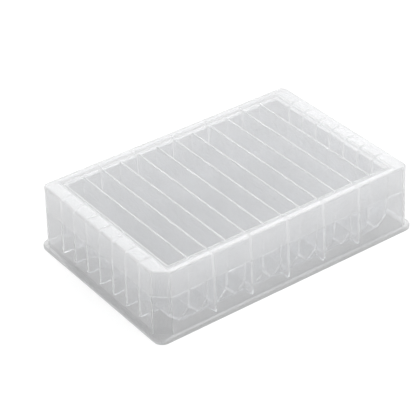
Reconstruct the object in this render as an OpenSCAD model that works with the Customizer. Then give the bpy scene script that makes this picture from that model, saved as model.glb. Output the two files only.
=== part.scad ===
// Twelve-channel reagent reservoir on a microplate footprint.
// One moulded shell: a skirt with a base flange, a flat deck, and a tub of
// parallel V-bottomed channels hung inside it.
// X runs along the long side, Y along the channels, Z up.
// The origin is the centre of the footprint, on the resting plane.

/* [Footprint] */
// Length of the base flange along X
base_l = 127.76; // [124:0.01:132]
// Width of the base flange along Y
base_w = 85.48; // [83:0.01:90]
// Corner radius of the base flange
base_r = 4; // [3:0.1:6]
// Thickness of the base flange
flange_t = 1.6; // [1:0.1:3]
// Rounding of the flange's upper edge
flange_edge_r = 0.4; // [0.2:0.05:0.7]
// Overall height, from the resting plane to the deck
height = 30; // [28:0.5:44]

/* [Skirt] */
// Width of the flange's ledge outside the foot of the skirt
ledge = 1.55; // [1:0.05:2.5]
// Inward lean of each skirt wall between flange and deck
skirt_draft = 0.55; // [0.2:0.05:1]
// Corner radius of the skirt at the deck
skirt_r = 3; // [2:0.1:5]
// Leg of the cut corner that marks the first channel's front end
key_cut = 5.5; // [3:0.1:6]
// Rounding of the deck's outer edge
rim_r = 0.8; // [0.75:0.05:0.9]
// Rounding of the deck's edge along the cut corner
key_rim_r = 0.7; // [0.4:0.05:0.7]
// Wall thickness of the skirt above its inner step
wall_upper = 1.6; // [1.3:0.1:2]
// Wall thickness of the skirt below its inner step
wall_lower = 1.1; // [0.8:0.1:1.2]
// Height of the inner step above the resting plane
step_z = 18.2; // [10:0.1:24]

/* [Deck] */
// Thickness of the deck
deck_t = 1.2; // [0.8:0.1:2]
// Width of the gutter between the deck and the tub's lip
gutter_w = 1.1; // [0.6:0.05:1.3]
// Depth of the gutter below the deck
gutter_d = 0.9; // [0.5:0.1:1.2]
// Thickness of material under and beside the gutter
gutter_wall = 0.9; // [0.7:0.1:1.2]

/* [Channels] */
// Number of channels
channels = 12; // [4:1:12]
// Spacing of the channels
pitch = 9; // [8.8:0.1:9.1]
// Thickness of the dividers at their tops
divider_t = 0.8; // [0.7:0.05:1]
// Depth of a channel below the deck
channel_depth = 26.85; // [20:0.05:27.5]
// Length of a channel along Y, at its top
channel_l = 71; // [50:0.5:72]
// Lean of each channel side between its top and the valley
side_draft = 0.2; // [0.05:0.05:0.25]
// Lean of each channel end between its top and the valley
end_draft = 0.95; // [0.3:0.05:1.5]
// Slope of the two faces of the valley
valley_slope = 45; // [35:1:50]
// Inside radius along the bottom of the valley
valley_r = 1; // [0.6:0.1:1.5]
// Thickness of the tub's outer walls
tub_wall = 0.8; // [0.75:0.05:1.1]
// Thickness of the valley floors
floor_t = 1; // [0.8:0.05:1.3]
// Drop of the lip and the divider tops below the deck
lip_drop = 0.3; // [0.1:0.05:0.6]
// Rounding of the lip and the divider tops
lip_r = 0.3; // [0.15:0.05:0.33]

/* [Ribs] */
// Thickness of the ribs between the tub and the skirt
rib_t = 1.3; // [0.8:0.1:2]
// Number of ribs on each short side
side_ribs = 7; // [3:2:7]
// Spacing of the ribs on the short sides
side_rib_pitch = 9; // [8:0.5:10]
// Height of the short-side ribs' lower edge above the resting plane
side_rib_foot = 4.3; // [3.5:0.1:5]
// Number of ribs on each long side
long_ribs = 5; // [3:2:5]
// Spacing of the ribs on the long sides
long_rib_pitch = 18; // [16:0.5:20]
// Height of the long-side ribs' lower edge above the resting plane
long_rib_foot = 2.5; // [2.2:0.1:5]

/* [Sink grooves] */
// Radius of the groove that each rib draws in the deck above it
sink_r = 0.9; // [0.6:0.1:1.2]
// Depth of a groove at the gutter
sink_depth = 0.5; // [0.2:0.05:0.6]
// Length of the grooves over the short-side ribs
side_sink_l = 4.6; // [2:0.1:5]
// Length of the grooves over the long-side ribs
long_sink_l = 1.3; // [0.8:0.1:1.6]

/* [Hidden] */
$fn = 64;

// Clearance by which a cutter passes the surface that it opens
over = 1;

// Half lengths and widths: X first, then Y
base_half = [base_l / 2, base_w / 2];
skirt_inset = ledge + skirt_draft;
skirt_half = [base_half[0] - skirt_inset, base_half[1] - skirt_inset];

// The channels and the valley along their bottoms
channel_half = (pitch - divider_t) / 2;
channel_foot = channel_half - side_draft;
end_centre = (channels - 1) / 2 * pitch;
lip_z = height - lip_drop;
shoulder_z = lip_z - lip_r;
valley_z = height - channel_depth + valley_r;
lean_z = height - channel_depth - floor_t;

// The tub's outer faces at the lip
tub_half = [end_centre + channel_half + tub_wall, channel_l / 2 + tub_wall];
pocket_half = [tub_half[0] + gutter_w, tub_half[1] + gutter_w];

function skirt_lean(z) = skirt_draft * (height - rim_r - z) / (height - rim_r - flange_t);

// Height at which a sloping valley face, thick away from the valley's centre, stands x from it
function valley_face(x, thick) =
    valley_z - (valley_r + thick) / cos(valley_slope) + x * tan(valley_slope);

// Section of a wall: from the middle out to a face that stands at face_0 at z0 and at face_1 at z1
module wall_section(face_0, face_1, z0, z1, edge_r) {
    polygon([[0, z0], [face_0, z0], [face_1, z1 - edge_r], [0, z1 - edge_r]]);
    if (edge_r > 0) {
        translate([0, z1 - 2 * edge_r]) square([face_1 - edge_r, 2 * edge_r]);
        translate([face_1 - edge_r, z1 - edge_r]) circle(edge_r);
    }
}

// Extrusions of a section along X and along Y, centred
module along_x(run) {
    rotate([90, 0, 90]) linear_extrude(run, center = true) children();
}
module along_y(run) {
    rotate([90, 0, 0]) linear_extrude(run, center = true) children();
}

// Box with leaning walls, round upright corners and a rounded upper edge.
// half and r hold at the top, and the walls stand lean_0 further out at z0 and lean_1 at z1.
module block(half, r, z0, z1, lean_0 = 0, lean_1 = 0, edge_r = 0) {
    along_x(2 * (half[0] - r)) for (side = [0, 1]) mirror([side, 0])
        wall_section(half[1] + lean_0, half[1] + lean_1, z0, z1, edge_r);
    along_y(2 * (half[1] - r)) for (side = [0, 1]) mirror([side, 0])
        wall_section(half[0] + lean_0, half[0] + lean_1, z0, z1, edge_r);
    for (x = [r - half[0], half[0] - r], y = [r - half[1], half[1] - r]) translate([x, y, 0])
        rotate_extrude() wall_section(r + lean_0, r + lean_1, z0, z1, edge_r);
}

// Block of the skirt's outline moved inwards by a wall thickness, with its key corner cut off
module skirt_block(wall, z0, z1, edge_r = 0) {
    half = [skirt_half[0] - wall, skirt_half[1] - wall];
    key_face = (skirt_half[0] + skirt_half[1] - key_cut) / sqrt(2) - wall;
    key_r = min(edge_r, key_rim_r);
    reach = base_l;
    intersection() {
        block(half, skirt_r - wall, z0, z1, skirt_lean(z0), skirt_lean(z1 - edge_r), edge_r);
        rotate(225) along_y(2 * reach) {
            wall_section(key_face + skirt_lean(z0), key_face + skirt_lean(z1 - key_r), z0, z1, key_r);
            translate([-reach, z0]) square([reach, z1 - z0]);
        }
    }
}

module outer_shell() {
    block(base_half, base_r, 0, flange_t, edge_r = flange_edge_r);
    skirt_block(0, flange_t / 2, height, rim_r);
}

// Space inside the skirt, narrower above the step
module inner_space() {
    skirt_block(wall_lower, -over, step_z);
    skirt_block(wall_upper, step_z - over, height - deck_t);
}

// Material that carries the gutter round the tub
module gutter_bed() {
    bed_half = [pocket_half[0] + gutter_wall, pocket_half[1] + gutter_wall];
    bed_z = height - gutter_d - gutter_wall;
    translate([-bed_half[0], -bed_half[1], bed_z])
        cube([2 * bed_half[0], 2 * bed_half[1], height - deck_t / 2 - bed_z]);
}

// Opening in the deck, down to the floor of the gutter
module pocket() {
    translate([-pocket_half[0], -pocket_half[1], height - gutter_d])
        cube([2 * pocket_half[0], 2 * pocket_half[1], gutter_d + over]);
}

// Rib between the tub and the skirt, drawn for the +X side
module rib(inner, outer, foot) {
    top = height - deck_t / 2;
    bite = wall_lower / 2;
    rotate([90, 0, 0]) linear_extrude(rib_t, center = true) polygon([
        [inner, foot],
        [outer + skirt_lean(foot) - bite, foot],
        [outer + skirt_lean(top) - bite, top],
        [inner, top]
    ]);
}

// Lower end of a channel: two sloping faces that meet in a round valley.
// thick moves them outwards from the channel's own space, foot is their half width at the top.
module valley_section(thick, foot) {
    r = valley_r + thick;
    touch = [r * sin(valley_slope), valley_z - r * cos(valley_slope)];
    translate([0, valley_z]) circle(r);
    polygon([
        [-foot, valley_face(foot, thick)],
        [-touch[0], touch[1]],
        [touch[0], touch[1]],
        [foot, valley_face(foot, thick)]
    ]);
}

// Section of a channel square to Y, from the valley up to the shoulder where the lip's rounding starts
module channel_section(thick, wall) {
    foot = channel_foot + wall;
    foot_z = valley_face(foot, thick);
    valley_section(thick, foot);
    polygon([
        [-channel_half - wall, shoulder_z],
        [-foot, foot_z],
        [foot, foot_z],
        [channel_half + wall, shoulder_z]
    ]);
}

// Section square to X that leans in by end_draft at each end
module length_section(wall) {
    half = channel_l / 2 + wall;
    polygon([
        [-half, shoulder_z],
        [end_draft - half, lean_z],
        [half - end_draft, lean_z],
        [half, shoulder_z]
    ]);
}

// Upper end of the tub's outer section, rounded at both edges
module lip_section(half) {
    translate([lip_r - half, lip_z - 2 * lip_r]) square([2 * (half - lip_r), 2 * lip_r]);
    for (side = [-1, 1]) translate([side * (half - lip_r), shoulder_z]) circle(lip_r);
}

// Upper end of a channel's section, flaring over the rounded lip
module mouth_section(half) {
    mouth = half + lip_r;
    difference() {
        translate([-mouth, shoulder_z]) square([2 * mouth, lip_r + over]);
        for (side = [-1, 1]) translate([side * mouth, shoulder_z]) circle(lip_r);
    }
}

module at_channels() {
    for (i = [0 : channels - 1]) translate([i * pitch - end_centre, 0]) children();
}

// Outer body of the tub, with a straight-edged wall across each end of the channels
module tub() {
    intersection() {
        along_y(2 * tub_half[1]) {
            at_channels() channel_section(floor_t, tub_wall);
            lip_section(tub_half[0]);
        }
        along_x(2 * tub_half[0]) {
            length_section(tub_wall);
            lip_section(tub_half[1]);
        }
    }
    for (side = [0, 1]) mirror([0, side, 0]) end_wall();
}

module end_wall() {
    half = channel_l / 2;
    intersection() {
        along_y(2 * tub_half[1]) {
            at_channels() channel_section(floor_t, tub_wall);
            translate([-end_centre, valley_z - valley_r - floor_t])
                square([2 * end_centre, channel_depth / 2]);
        }
        along_x(2 * tub_half[0]) polygon([
            [half, shoulder_z],
            [half - end_draft, lean_z],
            [half + tub_wall - end_draft, lean_z],
            [half + tub_wall, shoulder_z]
        ]);
    }
}

// Space of all the channels, open upwards
module channel_space() {
    intersection() {
        along_y(channel_l + 4 * over) at_channels() {
            channel_section(0, 0);
            mouth_section(channel_half);
        }
        along_x(2 * tub_half[0]) {
            length_section(0);
            mouth_section(channel_l / 2);
        }
    }
}

// Tapered groove in the deck, deepest at the gutter, drawn for the +X side
module sink_groove(start, run) {
    fall = atan(sink_depth / run);
    translate([start, 0, height + sink_r - sink_depth]) rotate([0, 90 - fall, 0])
        translate([0, 0, -gutter_w / 2]) cylinder(gutter_w / 2 + run / cos(fall), sink_r, sink_r);
}

// Copies of a +X feature on both short sides, and of a turned one on both long sides
module on_short_sides() {
    for (side = [0, 1], i = [0 : side_ribs - 1]) mirror([side, 0, 0])
        translate([0, (i - (side_ribs - 1) / 2) * side_rib_pitch, 0]) children();
}
module on_long_sides() {
    for (side = [0, 1], i = [0 : long_ribs - 1]) mirror([0, side, 0])
        translate([(i - (long_ribs - 1) / 2) * long_rib_pitch, 0, 0]) rotate(90) children();
}

module reservoir() color([0.86, 0.87, 0.87]) {
    difference() {
        union() {
            difference() {
                union() {
                    difference() {
                        outer_shell();
                        inner_space();
                    }
                    gutter_bed();
                    on_short_sides() rib(end_centre + valley_r + floor_t / 2, skirt_half[0], side_rib_foot);
                    on_long_sides() rib(channel_l / 2 - end_draft, skirt_half[1], long_rib_foot);
                }
                pocket();
                on_short_sides() sink_groove(pocket_half[0], side_sink_l);
                on_long_sides() sink_groove(pocket_half[1], long_sink_l);
            }
            tub();
        }
        channel_space();
    }
}

reservoir();
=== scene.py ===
from math import cos, radians, sin

import bpy
from bpy.props import FloatProperty, FloatVectorProperty, IntProperty, PointerProperty
from mathutils import Matrix, Vector


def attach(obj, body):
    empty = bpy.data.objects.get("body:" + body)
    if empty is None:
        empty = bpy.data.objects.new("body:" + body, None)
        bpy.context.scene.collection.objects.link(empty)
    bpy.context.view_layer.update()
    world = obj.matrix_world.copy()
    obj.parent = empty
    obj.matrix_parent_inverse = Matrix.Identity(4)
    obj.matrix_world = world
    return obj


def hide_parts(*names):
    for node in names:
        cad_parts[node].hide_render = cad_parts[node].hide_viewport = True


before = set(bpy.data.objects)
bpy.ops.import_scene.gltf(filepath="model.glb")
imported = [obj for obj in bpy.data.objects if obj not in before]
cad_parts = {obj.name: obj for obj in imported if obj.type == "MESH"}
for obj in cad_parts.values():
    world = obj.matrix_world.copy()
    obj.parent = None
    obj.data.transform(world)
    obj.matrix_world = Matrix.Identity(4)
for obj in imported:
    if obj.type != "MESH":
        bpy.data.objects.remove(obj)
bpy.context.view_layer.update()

bl_info = {
    "name": "Reagent Reservoir",
    "version": (1, 0, 0),
    "blender": (4, 5, 0),
    "location": "View3D > Sidebar > Reservoir",
    "description": "Finishes a twelve-channel reagent reservoir and sets it on a white table",
    "category": "Object",
}

MM = 0.001
WHITE = (1, 1, 1, 1)

# the CAD mesh is loose triangles: corners closer than WELD are one, and faces within FLAT are one
WELD = 0.002 * MM
FLAT = radians(0.3)

POLYPROPYLENE_IOR = 1.49
# how strongly the haze inside the plastic sends light onward; 0 is evenly all round, 1 is straight on
FORWARD = 0.5
# patches and ripples in a metre of plastic, so about 11 mm and 1 mm across
CLOUD_PATCHES = 90.0
MOULD_RIPPLES = 900.0
RIPPLE_HEIGHT = 0.05 * MM
RIPPLE_STRENGTH = 0.06

# numbers of a Mix node's two colour inputs and of its colour output
COLOUR_A, COLOUR_B, COLOUR_OUT = 6, 7, 2

# width in millimetres of the sensor that the camera's lens is stated for
SENSOR_WIDTH = 36
# how far the camera sees, in metres
SIGHT = 50


def linear(hex_colour):
    """Linear RGB of an sRGB hex colour."""
    channels = [int(hex_colour[i:i + 2], 16) / 255 for i in (1, 3, 5)]
    return tuple(c / 12.92 if c <= 0.04045 else ((c + 0.055) / 1.055) ** 2.4 for c in channels)


class ReservoirBody(bpy.types.PropertyGroup):
    """The tray's plastic and the rounding of its edges"""
    plastic: FloatVectorProperty(
        name="Plastic", description="Colour of the natural polypropylene",
        subtype="COLOR", size=3, min=0, max=1, default=linear("#fdfdfe"))
    cloud: FloatVectorProperty(
        name="Cloud", description="Colour where the plastic has set a little cloudier",
        subtype="COLOR", size=3, min=0, max=1, default=linear("#f9fafb"))
    tint: FloatVectorProperty(
        name="Depth Tint", description="Colour that light takes on along a long way through the plastic",
        subtype="COLOR", size=3, min=0, max=1, default=linear("#f3f9ff"))
    tint_density: FloatProperty(
        name="Tint Density", description="How fast light takes on the depth tint, in a metre of plastic",
        default=8.0, min=0, max=100)
    step_height: FloatProperty(
        name="Step Height",
        description="Height above which the walls are thicker, set slower and are cloudier",
        default=18.2 * MM, min=5 * MM, max=28 * MM, unit="LENGTH", precision=4)
    step_blend: FloatProperty(
        name="Step Blend", description="Height over which the plastic turns cloudier, each way from the step",
        default=1.2 * MM, min=0.1 * MM, max=5 * MM, unit="LENGTH", precision=4)
    haze: FloatVectorProperty(
        name="Surface Haze",
        description="Share of the light that the skin scatters, below and above the step",
        size=2, default=(0.06, 0.13), min=0, max=1)
    satin: FloatVectorProperty(
        name="Satin", description="Roughness of the skin, below and above the step",
        size=2, default=(0.09, 0.12), min=0, max=1)
    milk: FloatVectorProperty(
        name="Milkiness",
        description="How often light scatters in a metre of plastic, below and above the step",
        size=2, default=(150, 380), min=0, max=2000)
    edge_round: FloatProperty(
        name="Edge Rounding", description="Width of the rounding that moulding leaves on every sharp edge",
        default=0.12 * MM, min=0.02 * MM, max=0.2 * MM, unit="LENGTH", precision=5)
    edge_steps: IntProperty(
        name="Edge Steps", description="Faces across each rounded edge", default=2, min=1, max=4)
    crease_angle: FloatProperty(
        name="Crease Angle", description="Edges sharper than this get a rounding",
        default=radians(30), min=radians(5), max=radians(60), unit="ROTATION")


class ReservoirStage(bpy.types.PropertyGroup):
    """The table, the lamps, the room and the camera"""
    table_size: FloatProperty(
        name="Table Size", description="Side of the square white table top",
        default=6.0, min=1, max=20, unit="LENGTH")
    table_shade: FloatVectorProperty(
        name="Table Shade", description="Colour of the matt laminate on the table",
        subtype="COLOR", size=3, min=0, max=1, default=linear("#c8c8c8"))
    table_glow: FloatProperty(
        name="Table Glow", description="How much lighter the eye sees the table than the lamps make it",
        default=0.57, min=0, max=1, subtype="FACTOR")
    room_light: FloatVectorProperty(
        name="Room Light",
        description="Brightness of the white room as a light, on its dim and on its bright side",
        size=2, default=(0.05, 1.26), min=0, max=3)
    bright_azimuth: FloatProperty(
        name="Bright Side", description="Direction of the room's bright side round the tray",
        default=radians(112), unit="ROTATION")
    bright_elevation: FloatProperty(
        name="Bright Side Height", description="Height of the room's bright side above the horizon",
        default=radians(20), unit="ROTATION")
    back_power: FloatProperty(
        name="Back Softbox", description="Power of the softbox behind the tray",
        default=2.3, min=0, max=50, unit="POWER")
    back_elevation: FloatProperty(
        name="Back Height", description="Height of the back softbox above the horizon",
        default=radians(44), unit="ROTATION")
    back_distance: FloatProperty(
        name="Back Distance", description="Distance of the back softbox from the tray",
        default=1.2, min=0.3, max=5, unit="LENGTH")
    back_size: FloatVectorProperty(
        name="Back Size", description="Width and height of the back softbox",
        size=2, default=(0.9, 0.6), min=0.05, max=5, unit="LENGTH")
    top_power: FloatProperty(
        name="Top Softbox", description="Power of the softbox above the tray",
        default=3.7, min=0, max=50, unit="POWER")
    top_azimuth: FloatProperty(
        name="Top Azimuth", description="Direction of the top softbox round the tray",
        default=radians(95), unit="ROTATION")
    top_elevation: FloatProperty(
        name="Top Height", description="Height of the top softbox above the horizon",
        default=radians(68), unit="ROTATION")
    top_distance: FloatProperty(
        name="Top Distance", description="Distance of the top softbox from the tray",
        default=1.3, min=0.3, max=5, unit="LENGTH")
    top_size: FloatVectorProperty(
        name="Top Size", description="Width and height of the top softbox",
        size=2, default=(1.4, 1.4), min=0.05, max=5, unit="LENGTH")
    camera_azimuth: FloatProperty(
        name="Camera Azimuth", description="Direction of the camera round the tray; 0 looks along +Y",
        default=radians(-35.49), unit="ROTATION")
    camera_elevation: FloatProperty(
        name="Camera Elevation", description="Height of the camera above the horizon",
        default=radians(34.21), unit="ROTATION")
    camera_distance: FloatProperty(
        name="Camera Distance", description="Distance of the camera from its target",
        default=0.7192, unit="LENGTH")
    camera_roll: FloatProperty(
        name="Camera Roll", description="Turn of the camera about its own axis",
        default=-0.032, unit="ROTATION")
    camera_lens: FloatProperty(
        name="Camera Lens", description="Focal length on a 36 mm sensor", default=152.41)
    camera_target: FloatVectorProperty(
        name="Camera Target",
        description="Point that the camera looks at, from the centre of the footprint",
        subtype="TRANSLATION", default=(-7.0 * MM, 1.78 * MM, 15 * MM))


def direction(azimuth, elevation):
    """Unit vector from the tray towards a camera or lamp at these angles."""
    return Vector((sin(azimuth) * cos(elevation), -cos(azimuth) * cos(elevation), sin(elevation)))


def add(tree, kind, settings=None, **links):
    """Adds a shader node. Settings are its attributes or input values, where a whole number is an input's
    number; links are sockets for its inputs, where i0 and i1 are the first and the second."""
    node = tree.nodes.new("ShaderNode" + kind)
    for key, value in (settings or {}).items():
        if isinstance(key, int) or key in node.inputs:
            node.inputs[key].default_value = value
        else:
            setattr(node, key, value)
    for key, socket in links.items():
        key = key.replace("_", " ")
        tree.links.new(socket, node.inputs[int(key[1:]) if key[1:].isdigit() else key])
    return node


def new_material(name):
    """Empty material and its node tree."""
    material = bpy.data.materials.new(name)
    material.use_nodes = True
    material.node_tree.nodes.clear()
    return material, material.node_tree


def seen_rays(tree):
    """Light Path node, and a socket that is 1 for rays that see a surface: straight, by gloss or through
    plastic."""
    path = add(tree, "LightPath")
    seen = add(tree, "Math", {"operation": "MAXIMUM"},
               i0=path.outputs["Is Camera Ray"], i1=path.outputs["Is Transmission Ray"])
    seen = add(tree, "Math", {"operation": "MAXIMUM"}, i0=seen.outputs[0], i1=path.outputs["Is Glossy Ray"])
    return path, seen.outputs[0]


def polypropylene(body):
    """Natural polypropylene, injection moulded: thin walls show what is behind them, and look whiter
    where the light has more plastic to cross, as at the dividers' edges; the skin is a fine satin."""
    material, tree = new_material("natural_polypropylene")
    place = add(tree, "TexCoord").outputs["Object"]
    # soft patches where the melt has set a little cloudier
    patch = add(tree, "TexNoise", {"Scale": CLOUD_PATCHES, "Detail": 3.0}, Vector=place)
    tone = add(tree, "Mix", {"data_type": "RGBA", COLOUR_A: (*body.plastic, 1), COLOUR_B: (*body.cloud, 1)},
               Factor=patch.outputs["Fac"]).outputs[COLOUR_OUT]
    # clear and glossy low down, milkier and duller from the step up
    height = add(tree, "SeparateXYZ", Vector=place)
    upper = add(tree, "MapRange", {"From Min": body.step_height - body.step_blend,
                                   "From Max": body.step_height + body.step_blend}, Value=height.outputs["Z"])
    haze, clear, satin, milkiness = [
        add(tree, "MapRange", {"To Min": low, "To Max": high}, Value=upper.outputs[0]).outputs[0]
        for low, high in (body.haze, [1 - share for share in body.haze], body.satin, body.milk)]
    # the satin of a polished mould: fine ripples that only break up the gloss
    ripple = add(tree, "TexNoise", {"Scale": MOULD_RIPPLES, "Detail": 2.0}, Vector=place)
    skin = add(tree, "Bump", {"Strength": RIPPLE_STRENGTH, "Distance": RIPPLE_HEIGHT},
               Height=ripple.outputs["Fac"])
    wall = add(tree, "BsdfPrincipled", {"IOR": POLYPROPYLENE_IOR}, Base_Color=tone, Roughness=satin,
               Transmission_Weight=clear, Normal=skin.outputs["Normal"]).outputs["BSDF"]
    # lamps and scattered light cross the walls unbent, so that they reach the bottoms of the channels
    surface = add(tree, "BsdfPrincipled", {"Specular IOR Level": 0.0}, Base_Color=tone, Roughness=satin,
                  Alpha=haze).outputs["BSDF"]
    path = add(tree, "LightPath")
    for ray in ("Is Glossy Ray", "Is Transmission Ray", "Is Camera Ray"):
        surface = add(tree, "MixShader", i0=path.outputs[ray], i1=surface, i2=wall).outputs[0]
    milk = add(tree, "VolumeScatter", {"Color": WHITE, "Anisotropy": FORWARD}, Density=milkiness)
    depth = add(tree, "VolumeAbsorption", {"Color": (*body.tint, 1), "Density": body.tint_density})
    inside = add(tree, "AddShader", i0=milk.outputs[0], i1=depth.outputs[0])
    add(tree, "OutputMaterial", Surface=surface, Volume=inside.outputs[0])
    return material


def white_table(stage):
    """Matt white laminate, seen as lighter than the lamps make it; through the tray it keeps its shade."""
    material, tree = new_material("white_laminate")
    path, seen = seen_rays(tree)
    # 1 where a ray has crossed no wall of the tray
    bare = add(tree, "Math", {"operation": "LESS_THAN", 1: 0.5}, i0=path.outputs["Transmission Depth"])
    bare = add(tree, "Math", {"operation": "MULTIPLY"}, i0=seen, i1=bare.outputs[0])
    lift = add(tree, "Math", {"operation": "MULTIPLY", 1: stage.table_glow}, i0=bare.outputs[0])
    top = add(tree, "BsdfDiffuse", {"Color": (*stage.table_shade, 1)})
    glow = add(tree, "Emission", {"Color": WHITE}, Strength=lift.outputs[0])
    both = add(tree, "AddShader", i0=top.outputs[0], i1=glow.outputs[0])
    add(tree, "OutputMaterial", Surface=both.outputs[0])
    return material


def white_room(stage):
    """White surroundings: full white where they are seen, and as a light brighter on one side, as by a
    window."""
    world = bpy.data.worlds.new("white_room")
    bpy.context.scene.world = world
    world.use_nodes = True
    tree = world.node_tree
    tree.nodes.clear()
    _, seen = seen_rays(tree)
    dim, bright = stage.room_light
    to_window = direction(stage.bright_azimuth, stage.bright_elevation)
    # 1 towards the window and -1 away from it
    window = add(tree, "VectorMath", {"operation": "DOT_PRODUCT", 1: to_window},
                 i0=add(tree, "TexCoord").outputs["Generated"])
    light = add(tree, "MapRange", {"From Min": -1.0, "To Min": dim, "To Max": bright},
                Value=window.outputs["Value"])
    level = add(tree, "MapRange", {"To Max": 1.0}, Value=seen, To_Min=light.outputs[0])
    air = add(tree, "Background", {"Color": WHITE}, Strength=level.outputs["Result"])
    add(tree, "OutputWorld", Surface=air.outputs[0])


def select_only(piece):
    """Selects a piece and nothing else, and makes it the active one."""
    bpy.ops.object.select_all(action="DESELECT")
    piece.select_set(True)
    bpy.context.view_layer.objects.active = piece


def merged_copy(cad, name):
    """Copy of a CAD node with its corners merged and its flat faces whole."""
    piece = bpy.data.objects.new(name, cad.data.copy())
    bpy.context.scene.collection.objects.link(piece)
    select_only(piece)
    bpy.ops.object.mode_set(mode="EDIT")
    bpy.ops.mesh.select_all(action="SELECT")
    bpy.ops.mesh.remove_doubles(threshold=WELD)
    bpy.ops.mesh.dissolve_limited(angle_limit=FLAT)
    bpy.ops.object.mode_set(mode="OBJECT")
    return piece


def round_edges(piece, body):
    """Rounds the sharp edges of the active piece, and shades its flat faces as flat."""
    rounding = piece.modifiers.new("rounding", "BEVEL")
    rounding.width = body.edge_round
    rounding.segments = body.edge_steps
    rounding.angle_limit = body.crease_angle
    bpy.ops.object.modifier_apply(modifier=rounding.name)
    bpy.ops.object.shade_smooth_by_angle(angle=body.crease_angle)
    flats = piece.modifiers.new("flats", "WEIGHTED_NORMAL")
    flats.keep_sharp = True
    bpy.ops.object.modifier_apply(modifier=flats.name)


class OBJECT_OT_reservoir_body(bpy.types.Operator):
    """Dress the moulded tray: round its sharp edges and give it its plastic"""
    bl_idname = "object.reservoir_body"
    bl_label = "Reservoir Body"

    def execute(self, context):
        body = context.scene.reservoir_body
        tray = merged_copy(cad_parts["reservoir"], "moulded_tray")
        round_edges(tray, body)
        tray.data.materials.clear()
        tray.data.materials.append(polypropylene(body))
        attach(tray, "root")
        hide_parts("reservoir")
        return {"FINISHED"}


def soft_lamp(name, place, size, power):
    """Rectangular lamp that faces the tray."""
    light = bpy.data.lights.new(name, "AREA")
    light.shape = "RECTANGLE"
    light.size, light.size_y = size
    light.energy = power
    lamp = bpy.data.objects.new(name, light)
    bpy.context.scene.collection.objects.link(lamp)
    lamp.location = place
    lamp.rotation_euler = (-place).to_track_quat("-Z", "Y").to_euler()


class OBJECT_OT_reservoir_stage(bpy.types.Operator):
    """Set up the table, the lamps and the camera"""
    bl_idname = "object.reservoir_stage"
    bl_label = "Stage"

    def execute(self, context):
        stage = context.scene.reservoir_stage
        bpy.ops.object.select_all(action="DESELECT")
        bpy.ops.mesh.primitive_plane_add(size=stage.table_size)
        table = context.object
        table.name = "table_top"
        table.data.materials.append(white_table(stage))
        white_room(stage)
        self.place_lamps(stage)
        self.place_camera(context, stage)
        # light crosses many walls on its way down to the channels' bottoms and back
        light = context.scene.cycles
        light.max_bounces = 32
        light.diffuse_bounces = 16
        light.glossy_bounces = 16
        light.transmission_bounces = 32
        light.volume_bounces = 16
        light.transparent_max_bounces = 64
        return {"FINISHED"}

    def place_lamps(self, stage):
        behind = stage.camera_azimuth + radians(180)
        back = direction(behind, stage.back_elevation) * stage.back_distance
        soft_lamp("back_softbox", back, stage.back_size, stage.back_power)
        top = direction(stage.top_azimuth, stage.top_elevation) * stage.top_distance
        soft_lamp("top_softbox", top, stage.top_size, stage.top_power)

    def place_camera(self, context, stage):
        data = bpy.data.cameras.new("camera")
        camera = bpy.data.objects.new("camera", data)
        context.scene.collection.objects.link(camera)
        back = direction(stage.camera_azimuth, stage.camera_elevation)
        right = Vector((0, 0, 1)).cross(back).normalized()
        up = back.cross(right)
        roll = stage.camera_roll
        turned_right = right * cos(roll) + up * sin(roll)
        turned_up = up * cos(roll) - right * sin(roll)
        axes = Matrix((turned_right, turned_up, back)).transposed()
        place = Vector(stage.camera_target) + back * stage.camera_distance
        camera.matrix_world = Matrix.Translation(place) @ axes.to_4x4()
        data.sensor_width = SENSOR_WIDTH
        data.lens = stage.camera_lens
        data.clip_end = SIGHT
        context.scene.camera = camera


class VIEW3D_PT_reservoir(bpy.types.Panel):
    """Sizes and colours of the reservoir and its stage"""
    bl_label = "Reagent Reservoir"
    bl_space_type = "VIEW_3D"
    bl_region_type = "UI"
    bl_category = "Reservoir"

    def draw(self, context):
        for group, operator in (("reservoir_body", OBJECT_OT_reservoir_body),
                                ("reservoir_stage", OBJECT_OT_reservoir_stage)):
            values = getattr(context.scene, group)
            box = self.layout.box()
            for key in values.__annotations__:
                box.prop(values, key)
            box.operator(operator.bl_idname)


CLASSES = (ReservoirBody, ReservoirStage, OBJECT_OT_reservoir_body, OBJECT_OT_reservoir_stage,
           VIEW3D_PT_reservoir)


def register():
    for cls in CLASSES:
        bpy.utils.register_class(cls)
    bpy.types.Scene.reservoir_body = PointerProperty(type=ReservoirBody)
    bpy.types.Scene.reservoir_stage = PointerProperty(type=ReservoirStage)


def unregister():
    del bpy.types.Scene.reservoir_stage
    del bpy.types.Scene.reservoir_body
    for cls in reversed(CLASSES):
        bpy.utils.unregister_class(cls)


def main():
    register()
    bpy.context.scene.view_settings.view_transform = "Standard"
    bpy.ops.object.reservoir_body()
    bpy.ops.object.reservoir_stage()


if __name__ == "__main__":
    main()
